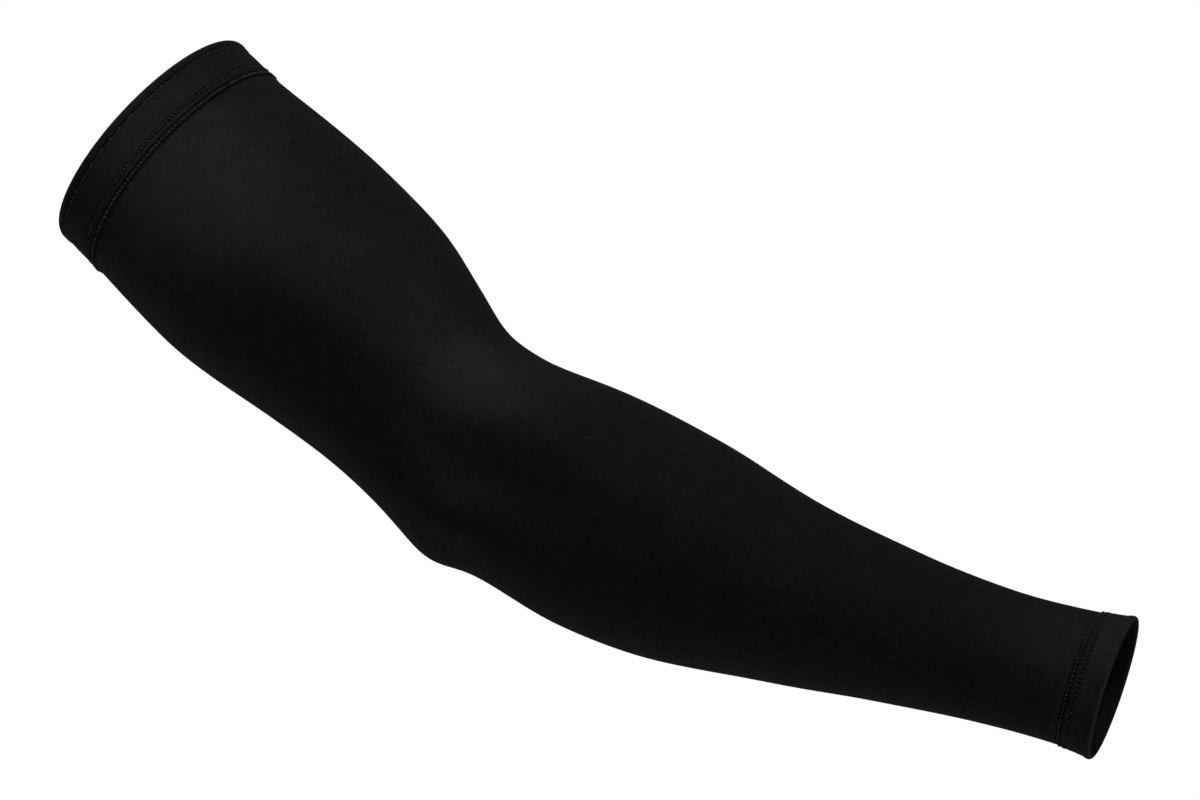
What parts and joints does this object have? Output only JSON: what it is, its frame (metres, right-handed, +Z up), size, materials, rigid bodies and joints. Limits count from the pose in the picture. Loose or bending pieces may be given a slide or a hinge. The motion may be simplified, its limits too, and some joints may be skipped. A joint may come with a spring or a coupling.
{
  "type": "arm sleeve",
  "caption": "Long stretch-knit compression arm sleeve in its worn form, with a bound upper cuff, ribbed flat seams and a turned hem at the wrist.",
  "frame": {"origin": "centre of the upper mouth, where the upper arm goes in", "axes": "the arm bends in the XZ plane: +X points to the wrist end, +Z is up on the biceps side, and Y runs across the arm"},
  "size_m": [0.4021, 0.0972, 0.2578],
  "materials": {
    "tube_knit": "smooth black warp knit with a soft sheen",
    "band_knit": "doubled smooth black warp knit",
    "seam_knit": "black knit gathered into a ribbed flat seam, sewn with black thread",
    "edge_knit": "black knit binding strip, folded over the edge"
  },
  "bodies": {
    "root": {"edge_binding": "edge_knit", "upper_cuff": "band_knit", "upper_seam": "seam_knit", "arm_tube": "tube_knit", "wrist_seam": "seam_knit", "wrist_hem": "band_knit"}
  },
  "joints": []
}
